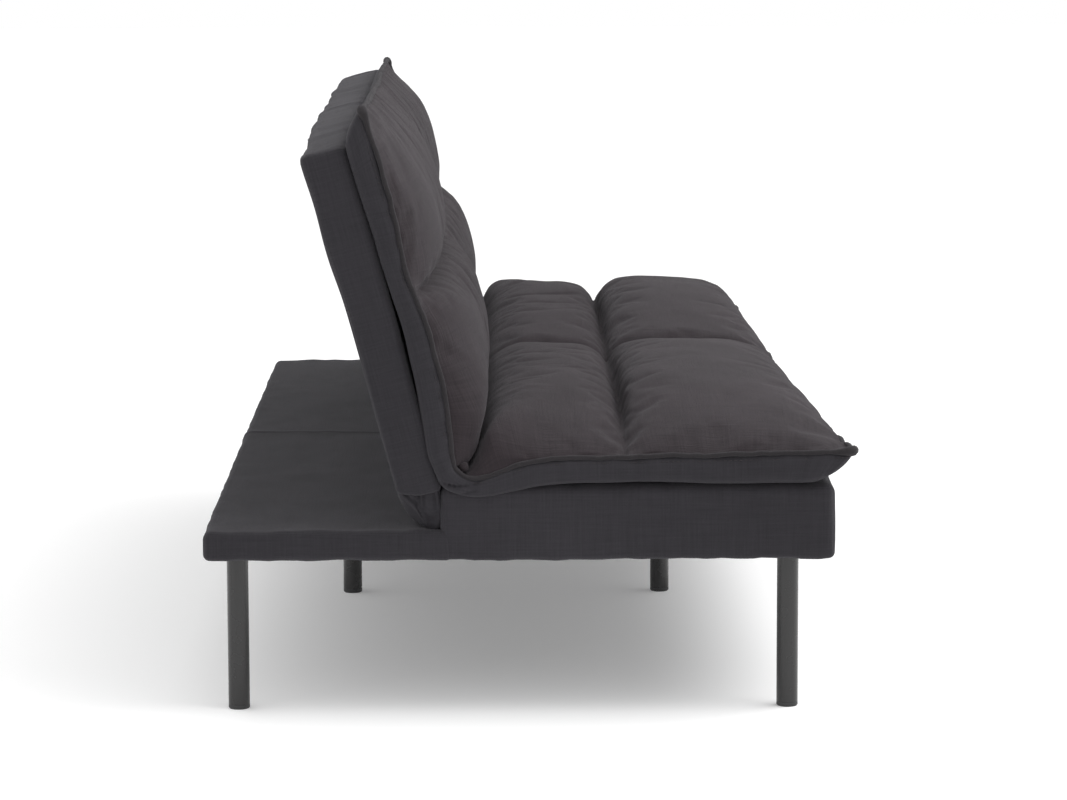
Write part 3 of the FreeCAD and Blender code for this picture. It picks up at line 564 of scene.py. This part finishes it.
def tube(name, path, radius, sides, closed=False):
    """A round cord of cloth along a path, in millimetres; the radius may change along it."""
    radius = np.broadcast_to(radius, len(path))
    tangent = np.roll(path, -1, 0) - np.roll(path, 1, 0) if closed else np.gradient(path, axis=0)
    tangent /= np.linalg.norm(tangent, axis=1, keepdims=True)
    across = np.zeros_like(path)
    normal = np.cross(tangent[0], [0.3, 0.2, 0.9])
    for i, t in enumerate(tangent):
        normal = normal - t * (normal @ t)
        normal /= np.linalg.norm(normal)
        across[i] = normal
    other = np.cross(tangent, across)
    angle = np.arange(sides) * 2 * math.pi / sides
    ring = np.cos(angle)[None, :, None] * across[:, None] + np.sin(angle)[None, :, None] * other[:, None]
    points = path[:, None] + ring * radius[:, None, None]
    faces = grid_faces(len(path), sides, loop=True)
    last = (len(path) - 1) * sides
    if closed:
        # the last ring meets the first one turned by the number of sides that brings them closest
        turned = np.argmin([np.linalg.norm(np.roll(points[0], k, 0) - points[-1]) for k in range(sides)])
        faces += [(last + j, last + (j + 1) % sides, (j + 1 - int(turned)) % sides, (j - int(turned)) % sides)
                  for j in range(sides)]
    else:
        faces += [tuple(range(sides))[::-1], tuple(last + j for j in range(sides))]
    uv = np.stack([distances(path)[:, None] + 0 * angle, radius[:, None] * angle], -1)
    return mesh_object(name, points.reshape(-1, 3), faces, uv.reshape(-1, 2))


CORNER = 9.0                    # radius of the piping's corners, seen along the normal of the mattress


def piping_plan(step):
    """Points (x, run) round the mattress edge, a rectangle with rounded corners, starting at the front."""
    low_x, high_x = CORNER - PIPING_HALF, PIPING_HALF - CORNER
    low_run, high_run = CORNER, EDGE_LENGTH - CORNER
    centres = np.array([(high_x, low_run), (high_x, high_run), (low_x, high_run), (low_x, low_run)])
    out = []
    for quarter, centre in enumerate(centres):
        angles = (quarter - 1) * math.pi / 2 + np.linspace(0, math.pi / 2, 6, endpoint=False)
        turn = centre + CORNER * np.stack([np.cos(angles), np.sin(angles)], -1)
        start = centres[quarter - 1] + turn[0] - centre
        count = max(2, int(np.linalg.norm(turn[0] - start) / step))
        out += [np.linspace(start, turn[0], count, endpoint=False), turn]
    return np.concatenate(out)


def piping():
    """The corded seam round the whole mattress, drawn into a small knob at each corner."""
    step = 4.5
    x, run = piping_plan(step).T
    around = np.arange(len(x)) * step
    wave = 0.05 * noise(around / 34, 0.5, 61) + 0.03 * noise(around / 13, 0.5, 62)
    path = edge_point(x + 1.2 * noise(around / 26, 0.5, 63) * np.sign(x), run, 1.0 + wave)
    to_corner = PIPING_HALF - np.abs(x) + np.minimum(np.abs(run), np.abs(EDGE_LENGTH - run))
    thick = 3.5 + 0.4 * noise(around / 9, 0.5, 64) + 4.8 * ridge(to_corner, 12)
    return tube("mattress_piping", path, thick, 10, closed=True)


def fold_tuck(name, side):
    """The bunch of cloth where the mattress turns at one end of its fold, side -1 or 1."""
    length, fold_y, fold_z = 75.0, 91.0, 347.0
    inwards = np.linspace(0, length, 40)
    x = side * (BOX_HALF - inwards)
    y = fold_y + 1.5 * noise(inwards / 14, 0.5, 121) + 0.03 * inwards
    z = fold_z + 1.5 * noise(inwards / 11, 0.5, 122) + 0.10 * inwards
    near_tip = np.clip(inwards / 9, 0, 1)
    body = np.sqrt(near_tip * (2 - near_tip)) * (7.5 - 0.055 * inwards)
    thick = 0.8 + body * (1 + 0.16 * noise(inwards / 6, 0.5, 123))
    return tube(name, np.stack([x, y, z], -1), thick, 16)


def stitches():
    """A line of thread stitches on the boxed edge, just under the piping."""
    x, run = piping_plan(7.2).T
    beside, height = 3.2, 0.80
    out_x = np.where(np.abs(x) > PIPING_HALF - CORNER - 0.5, np.sign(x), 0.0)
    out_run = np.where(run < CORNER, -1.0, 0.0) + np.where(run > EDGE_LENGTH - CORNER, 1.0, 0.0)
    middle = edge_point(x + out_x * beside, run + out_run * beside, height)
    forward = np.roll(middle, -1, 0) - np.roll(middle, 1, 0)
    forward /= np.linalg.norm(forward, axis=1, keepdims=True)
    side = np.cross(forward, [0.31, 0.24, 0.92])
    side /= np.linalg.norm(side, axis=1, keepdims=True)
    other = np.cross(forward, side)
    sides = 6
    angle = np.arange(sides) * 2 * math.pi / sides
    rings = [(-2.1, 0.25), (-1.5, 0.7), (1.5, 0.7), (2.1, 0.25)]     # shift along the stitch, and radius
    each = sides * len(rings)
    wall = grid_faces(len(rings), sides, loop=True)
    wall += [tuple(range(sides))[::-1], tuple(range(each - sides, each))]
    points = np.stack([
        middle[:, None] + forward[:, None] * shift
        + radius * (np.cos(angle)[:, None] * side[:, None] + np.sin(angle)[:, None] * other[:, None])
        for shift, radius in rings], 1).reshape(-1, 3)
    faces = [tuple(k * each + corner for corner in face) for k in range(len(middle)) for face in wall]
    return mesh_object("piping_stitches", points, faces, points[:, :2])


# ---------------------------------------------------------------- the upholstered boxes
def box_folds(p, low, high, seed, seam, puckers):
    """Small pulls in the cloth near a box's edges, and the sewn joint across its middle, in millimetres."""
    x, y, z = p.T
    near = np.sort(np.stack([p - low, high - p], -1).min(-1), axis=1)[:, 1]
    fold = puckers * (0.5 + noise(x / 23 + z / 60, y / 19, seed)) * fade(near, 30)
    fold += 0.8 * (0.6 + noise(x / 90, y / 60 + z / 60, seed + 1))
    fold += 0.9 * noise(y / 14, z / 14, seed + 2) * fade(np.abs(x), 25)
    return fold + seam * (ridge(x, 16) - 1.5 * ridge(x, 5))


def box_columns():
    """Positions along an upholstered box."""
    return both_halves(BOX_HALF, 16, 36, 3.5)


def seat_box():
    """The padded box of the seat."""
    def swell(p, normal, low, high):
        return bulge(p, normal, low, high, (4.5, 8.0, 0.0)) + box_folds(p, low, high, 71, 2.4, 1.6)

    return soft_block("seat_upholstery", box_columns(), steps(SEAT_FRONT, SEAT_REAR, 11, 34, 3.5),
                      steps(BASE_UNDER, SEAT_TOP, 7, 24, 3.0), 15.5, swell, lambda q: q, 7)


def deck_box():
    """The low padded deck behind the seat."""
    def swell(p, normal, low, high):
        top = (normal[:, 2] > 0.7) * (0.8 + noise(p[:, 0] / 60, p[:, 1] / 26, 84))
        return bulge(p, normal, low, high, (2.5, 1.0, 1.0)) + box_folds(p, low, high, 81, 1.8, 1.3) + top

    return soft_block("deck_upholstery", box_columns(), steps(DECK_FRONT, DECK_REAR, 10, 30, 3.5),
                      steps(BASE_UNDER, DECK_TOP, 3.5), 10.5, swell, lambda q: q, 8)


def back_box():
    """The padded box of the back, leaning, with its rear flat below and swollen above."""
    def swell(p, normal, low, high):
        puffs = 2.4 * noise(p[:, 0] / 62, p[:, 1] / 90, 94) + noise(p[:, 0] / 17, 0.5, 96)
        top = (normal[:, 2] > 0.6) * puffs
        free = np.where(normal[:, 1] > 0.5, ease((p[:, 2] - 300) / 80), 1.0)
        folds = box_folds(p, low, high, 91, 2.6, 2.2) * (0.2 + 0.8 * free)
        return bulge(p, normal, low, high, (3.0, 5.0, 2.0)) * free + folds + top

    def place(q):
        x, w, v = q[:, 0], -q[:, 1], q[:, 2]
        behind = w < 0
        rise = ease((v - 480) / 30) * 3.0 * noise(x / 160, 0.4, 95)
        w = w - np.where(behind, 1, 0.1) * ease((v - 250) / 250) * (3 + 16 * ease((x + 830) / 700))
        w = w + np.where(w < 0, 1.2, 0) * (1 - ease((v - 290) / 80))
        taper = ease((45 - v) / 26) * np.where(w < 0, 12, 0) * np.clip(-w / 30, 0, 1)
        y, z = from_back(w, v + rise + taper)
        return np.stack([x, y, z], -1)

    return soft_block("back_upholstery", box_columns(), steps(-BACK_FACE, -BACK_BEHIND, 5),
                      steps(BACK_LOW, BACK_HIGH, 11, 30, 3.5), 11.5, swell, place, 8)


# The strip's route (y, z) from under the back, down round the hinge and up behind the seat box. The wide route
# clears the hinge plates; at the two ends the strip is drawn in.
HINGE_WIDE = [(183, 324), (180, 305), (173, 290), (165, 276), (153, 266), (138, 260), (125, 262),
              (123, 282), (124, 302), (130, 324)]
HINGE_DRAWN_IN = [(182, 324), (178, 307), (168, 297), (156, 284), (146, 270), (134, 261), (124, 263),
                  (123, 282), (124, 302), (130, 324)]


def hinge_cloth():
    """The loose strip that closes the gap between the back's lower end, the deck and the seat box.

    Its two ends are bunched up and tucked in beneath the back.
    """
    rows, plates_end, bunch_start, bunch_length = 40, 886.0, 895.0, 19.0
    behind_seat, above_deck = 122.6, 257.6
    wide, drawn_in = smooth_curve(HINGE_WIDE, rows), smooth_curve(HINGE_DRAWN_IN, rows)
    x, row = np.meshgrid(both_halves(BOX_HALF, 9, 32, 1.2), np.arange(rows))
    t = row / (rows - 1)
    at_end = ease((np.abs(x) - plates_end) / 16)
    y, z = (wide[row, k] * (1 - at_end) + drawn_in[row, k] * at_end for k in (0, 1))
    # loose pleats between its two sewn edges
    pleat = 3.5 * (0.6 + noise(x / 26 + 1.5 * t, t * 2.2, 101)) + 2.2 * noise(x / 10, t * 3.5, 102)
    pleat *= np.sin(math.pi * t) ** 0.7
    tangent = np.gradient(wide, axis=0)
    tangent /= np.linalg.norm(tangent, axis=1, keepdims=True)
    y = y - tangent[row, 1] * pleat
    z = z + tangent[row, 0] * pleat
    # the bunched ends, creased towards the corner of the seat box
    end = np.clip((np.abs(x) - bunch_start) / bunch_length, 0, 1)
    gather = 1 - np.sqrt(1 - end ** 2)
    angle = np.arctan2(z - 252, y - 112)
    creases = (ridge(noise(angle * 4.5, gather * 1.5, 103), 0.15)
               + 0.7 * ridge(noise(angle * 9.5 + 3, gather * 3.5, 104), 0.2))
    x = x - np.sign(x) * (1.5 + 6.5 * creases) * end ** 0.5
    y = y + (np.interp(t, [0, 0.45, 0.7, 1], [165, 148, 124, 124]) - y) * gather
    z = z + (334 - z) * gather
    return sheet_object("hinge_cloth", np.stack([x, np.maximum(y, behind_seat), np.maximum(z, above_deck)], -1))


def under_cloth():
    """The thin cloth stapled under the frame, sagging a little between its rails."""
    half, front, rear, height = 874, -381, 427, 221.2
    x, y = np.meshgrid(np.linspace(-half, half, 160), np.linspace(front, rear, 74))
    border = np.minimum(half - np.abs(x), np.minimum(y - front, rear - y))
    from_rail = np.minimum(np.abs(x), border)
    z = height - 4.0 * ease(from_rail / 260) * (1 + 0.3 * noise(x / 200, y / 200, 111))
    z -= 0.9 * np.abs(noise(x / 26, y / 26, 112)) * fade(border, 40)
    return sheet_object("under_cloth", np.stack([x, y, z], -1))


# ---------------------------------------------------------------- materials
class Tree:
    """Short names for building a node material."""

    def __init__(self, name):
        self.material = bpy.data.materials.new(name)
        self.material.use_nodes = True
        self.nodes, self.links = self.material.node_tree.nodes, self.material.node_tree.links
        self.shader = self.nodes["Principled BSDF"]

    def add(self, kind, settings=None, **inputs):
        """A new node; its inputs are given by name, or as i0, i1 and so on by number."""
        node = self.nodes.new("ShaderNode" + kind)
        for key, value in (settings or {}).items():
            setattr(node, key, value)
        for key, value in inputs.items():
            numbered = key[0] == "i" and key[1:].isdigit()
            self.put(node, int(key[1:]) if numbered else key.replace("_", " "), value)
        return node

    def put(self, node, key, value):
        socket = node.inputs[key]
        if isinstance(value, bpy.types.NodeSocket):
            self.links.new(value, socket)
        else:
            socket.default_value = value

    def math(self, operation, a, b=0.0, c=0.0):
        return self.add("Math", {"operation": operation}, i0=a, i1=b, i2=c).outputs[0]

    def scaled(self, vector, factors):
        return self.add("VectorMath", {"operation": "MULTIPLY"}, i0=vector, i1=factors).outputs[0]

    def noise(self, vector, scale=1.0, detail=2.0, roughness=0.5):
        node = self.add("TexNoise", Vector=vector, Scale=scale, Detail=detail, Roughness=roughness)
        return node.outputs["Fac"]

    def place(self):
        return self.add("TexCoord").outputs["Object"]

    def ramp(self, value, low, high):
        return self.add("MapRange", {"clamp": True}, Value=value, From_Min=low, From_Max=high).outputs[0]

    def mix(self, factor, a, b):
        node = self.add("Mix", {"data_type": "RGBA"})
        self.put(node, 0, factor)
        self.put(node, 6, a)
        self.put(node, 7, b)
        return node.outputs[2]

    def bump(self, height, strength, distance, normal=None):
        node = self.add("Bump", Height=height, Strength=strength, Distance=distance)
        if normal is not None:
            self.links.new(normal, node.inputs["Normal"])
        return node.outputs[0]

    def surface(self, **inputs):
        for key, value in inputs.items():
            self.put(self.shader, key.replace("_", " "), value)
        return self.material


def shade(colour, factor):
    """The colour made lighter or darker, as a node takes it."""
    return (*(channel * factor for channel in colour), 1.0)


def woven(name, colour, contrast=1.0, thread=0.0013, by_uv=True):
    """A plain linen-like weave: fine threads, thicker slubs both ways, and slow changes of tone."""
    t = Tree(name)
    place = t.place()
    cloth = t.add("UVMap", {"uv_map": "cloth"}).outputs[0] if by_uv else place
    split = t.add("SeparateXYZ", i0=cloth)
    waves = [t.math("SINE", t.math("MULTIPLY", split.outputs[k], 2 * math.pi / thread)) for k in (0, 1)]
    threads = t.math("MULTIPLY", waves[0], waves[1])
    warp = t.noise(t.scaled(cloth, (14.0, 420.0, 60.0)), 1.0, 2.5, 0.6)
    weft = t.noise(t.scaled(cloth, (420.0, 14.0, 60.0)), 1.0, 2.5, 0.6)
    wide_warp = t.noise(t.scaled(cloth, (5.0, 120.0, 30.0)), 1.0, 2.0)
    wide_weft = t.noise(t.scaled(cloth, (120.0, 5.0, 30.0)), 1.0, 2.0)
    tone = t.noise(place, 6.0, 3.0)
    fuzz = t.noise(place, 900.0, 2.0)
    wide = t.math("ADD", wide_warp, wide_weft)
    slubs = t.math("ADD", t.math("ADD", warp, weft), t.math("MULTIPLY", wide, 0.25))
    slubs = t.math("ADD", slubs, t.math("MULTIPLY", tone, 0.8))
    slubs = t.math("ADD", slubs, t.math("MULTIPLY", threads, 0.05))
    factor = t.ramp(slubs, 1.15, 2.15)
    base = t.mix(factor, shade(colour, 1 - 0.42 * contrast), shade(colour, 1 + 0.42 * contrast))
    light = t.ramp(fuzz, 0.62, 0.80)
    base = t.mix(t.math("MULTIPLY", light, 0.35), base, shade(colour, 1.9))
    fine = t.bump(threads, 0.35, 0.0003)
    normal = t.bump(t.math("ADD", t.math("ADD", warp, weft), t.math("MULTIPLY", fuzz, 0.3)), 0.6, 0.0011, fine)
    rough = t.math("ADD", t.math("MULTIPLY", factor, -0.08), 0.95)
    return t.surface(Base_Color=base, Roughness=rough, Normal=normal, Specular_IOR_Level=0.22, Sheen_Weight=0.1,
                     Sheen_Roughness=0.55, Sheen_Tint=(0.75, 0.73, 0.78, 1.0))


def painted(name, colour, roughness, grain=260.0, depth=0.00008):
    """Sprayed paint: a faint orange peel, dulled and rubbed a little here and there."""
    t = Tree(name)
    place = t.place()
    peel, wear = t.noise(place, grain, 2.0), t.noise(place, 22.0, 4.0)
    edge = t.add("NewGeometry").outputs["Pointiness"]
    rubbed = t.math("MULTIPLY", t.ramp(edge, 0.52, 0.6), t.ramp(wear, 0.4, 0.7))
    base = t.mix(wear, shade(colour, 0.9), shade(colour, 1.12))
    base = t.mix(t.math("MULTIPLY", rubbed, 0.06), base, shade(colour, 3.0))
    rough = t.math("ADD", t.math("MULTIPLY", wear, 0.06), roughness - 0.03)
    return t.surface(Base_Color=base, Roughness=rough, Normal=t.bump(peel, 0.15, depth), Coat_Weight=0.12,
                     Coat_Roughness=0.3)


def metal(name, colour, roughness):
    """Plated steel, with a fine grain and slightly dull patches."""
    t = Tree(name)
    place = t.place()
    grain, patches = t.noise(place, 300.0, 3.0), t.noise(place, 35.0, 3.0)
    base = t.mix(patches, shade(colour, 0.75), shade(colour, 1.15))
    rough = t.math("ADD", t.math("MULTIPLY", t.math("ADD", grain, patches), 0.14), roughness - 0.14)
    return t.surface(Base_Color=base, Roughness=rough, Normal=t.bump(grain, 0.25, 0.00006), Metallic=1.0)


def timber(name):
    """Planed pine: growth rings drawn out along each rail, and darker knots."""
    t = Tree(name)
    place = t.place()
    grain = t.noise(t.scaled(place, (3.0, 60.0, 60.0)), 1.0, 4.0)
    rings = t.math("SINE", t.math("MULTIPLY", grain, 38.0))
    knots = t.noise(place, 9.0, 1.0)
    base = t.mix(t.ramp(rings, -1.0, 1.0), (0.50, 0.32, 0.16, 1.0), (0.66, 0.47, 0.27, 1.0))
    base = t.mix(t.ramp(knots, 0.70, 0.76), base, (0.22, 0.12, 0.05, 1.0))
    return t.surface(Base_Color=base, Roughness=0.62, Normal=t.bump(rings, 0.2, 0.0002))


def open_foam(name, colour):
    """Open-cell foam: small pores darkened with painted shade, and a slow change of tone."""
    t = Tree(name)
    place = t.place()
    holes = t.add("TexVoronoi", Vector=place, Scale=700.0).outputs["Distance"]
    tone = t.noise(place, 12.0, 2.0)
    base = t.mix(tone, shade(colour, 0.85), shade(colour, 1.1))
    # painted shade in the pores
    base = t.mix(t.math("MULTIPLY", t.ramp(holes, 0.5, 0.0), 0.5), base, shade(colour, 0.5))
    return t.surface(Base_Color=base, Roughness=0.95, Normal=t.bump(holes, 0.5, 0.0006))


CHARCOAL = (0.0202, 0.0152, 0.0175)         # the mattress, in the warmer tint of its lit tops: painted light
SHADED_CHARCOAL = (0.0222, 0.0206, 0.0243)     # the same cloth as a shaded copy, cooler and bluer like its shaded ends, on boxes and boxed edge
UNDER_BLACK = (0.018, 0.018, 0.019)
finishes = {
    "charcoal_weave": woven("charcoal_weave_seen", CHARCOAL),
    "dust_cloth": woven("dust_cloth_seen", UNDER_BLACK, 0.5, 0.0008, by_uv=False),
    "foam": open_foam("foam_seen", (0.72, 0.66, 0.45)),
    "leg_paint": painted("leg_paint_seen", (0.010, 0.0095, 0.0095), 0.27),
    "zinc_steel": metal("zinc_steel_seen", (0.56, 0.56, 0.53), 0.36),
    "spring_steel": metal("spring_steel_seen", (0.20, 0.20, 0.21), 0.42),
    "black_plastic": painted("black_plastic_seen", (0.016, 0.016, 0.017), 0.52, 420.0, 0.00012),
    "pine": timber("pine_seen"),
}
# painted shade: the boxes, the boxed edge and the hinge strip wear a shaded copy of the mattress cloth
shaded_box_weave = woven("charcoal_weave_shaded_copy", SHADED_CHARCOAL, 0.55)
piping_weave = woven("charcoal_weave_piping", (0.0200, 0.0178, 0.0195), 0.8, 0.0009)
thread_finish = woven("sewing_thread", (0.027, 0.024, 0.026), 0.6, 0.0006, by_uv=False)
under_weave = woven("dust_cloth_sheet", UNDER_BLACK, 0.5, 0.0008)

for node in frame["nodes"].values():
    if node.type == "MESH":
        for slot in node.material_slots:
            name = slot.material.name.split(".")[0] if slot.material else ""
            slot.material = finishes.get(name, finishes["zinc_steel"])


def finish_piece(item, material):
    """Gives a piece its material."""
    item.data.materials.clear()
    item.data.materials.append(material)
    return item


def finish_box(item, node_name):
    """An upholstered box in place of its CAD node, in the shaded copy of the cloth."""
    finish_piece(item, shaded_box_weave)
    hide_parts(node_name)
    return item


mattress_weave = finishes["charcoal_weave"]
seat_top = finish_piece(seat_half(), mattress_weave)
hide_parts("seat_pad")
back_top = finish_piece(back_half(), mattress_weave)
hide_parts("back_pad")
edge = finish_piece(edge_band(), shaded_box_weave)
cord = finish_piece(piping(), piping_weave)
thread = finish_piece(stitches(), thread_finish)
tucks = [finish_piece(fold_tuck(f"fold_tuck_{word}", side), mattress_weave)
         for word, side in (("left", -1), ("right", 1))]

seat_shell = finish_box(seat_box(), "seat_cover")
deck_shell = finish_box(deck_box(), "deck_cover")
back_shell = finish_box(back_box(), "back_cover")

strip = finish_piece(hinge_cloth(), shaded_box_weave)
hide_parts("hinge_gap_cloth")
below = finish_piece(under_cloth(), under_weave)
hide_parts("dust_cover")

for piece in (seat_shell, deck_shell, below):
    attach(piece, "base")
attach(back_shell, "back")
for piece in (seat_top, back_top, edge, cord, thread, strip, *tucks):
    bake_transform(piece)

# ---------------------------------------------------------------- floor, light and camera
bpy.ops.mesh.primitive_plane_add(size=40, location=(0, 0, 0))
floor = bpy.context.object
floor.name = "studio_floor"
ground = Tree("studio_floor")
patches = ground.noise(ground.place(), 1.5, 2.0)
ground_tone = ground.mix(patches, (0.90, 0.90, 0.90, 1.0), (0.93, 0.93, 0.93, 1.0))
floor.data.materials.append(ground.surface(Base_Color=ground_tone, Roughness=0.9, Specular_IOR_Level=0.1,
                                           Emission_Color=(1.0, 1.0, 1.0, 1.0), Emission_Strength=0.16))

scene = bpy.context.scene
scene.view_settings.view_transform = "Standard"
world = bpy.data.worlds.new("studio")
world.use_nodes = True
sky = world.node_tree.nodes["Background"].inputs
sky["Color"].default_value, sky["Strength"].default_value = (1.0, 1.0, 1.0, 1.0), 1.0
scene.world = world


def area_light(name, place, target, size, power):
    """A white rectangular light aimed at a target."""
    data = bpy.data.lights.new(name, "AREA")
    data.shape, data.size, data.size_y = "RECTANGLE", *size
    data.energy = power
    light = bpy.data.objects.new(name, data)
    light.location = place
    light.rotation_euler = (Vector(target) - Vector(place)).to_track_quat("-Z", "Y").to_euler()
    scene.collection.objects.link(light)


area_light("strip_left", (-2.9, 2.6, 0.5), (-0.9, 0, 0.2), (0.15, 1.4), 4)
area_light("key_above", (-0.6, -2.0, 3.2), (0, -0.1, 0.3), (3.4, 2.4), 85)

# the camera stands off the left end at about chest height, and looks almost along the sofa
CAMERA_AT = (-6.17495, 0.04771, 1.19226)
LENS, SENSOR = 130.57, 36
pitch, yaw, roll = 0.1415, -0.0102, -0.003
forward = Vector((math.cos(pitch) * math.cos(yaw), math.cos(pitch) * math.sin(yaw), -math.sin(pitch)))
level = forward.cross(Vector((0, 0, 1))).normalized()
upright = level.cross(forward)
right = math.cos(roll) * level + math.sin(roll) * upright
up = -math.sin(roll) * level + math.cos(roll) * upright
camera_data = bpy.data.cameras.new("camera")
camera_data.lens, camera_data.sensor_width = LENS, SENSOR
camera = bpy.data.objects.new("camera", camera_data)
camera.matrix_world = Matrix.Translation(CAMERA_AT) @ Matrix((right, up, -forward)).transposed().to_4x4()
scene.collection.objects.link(camera)
scene.camera = camera
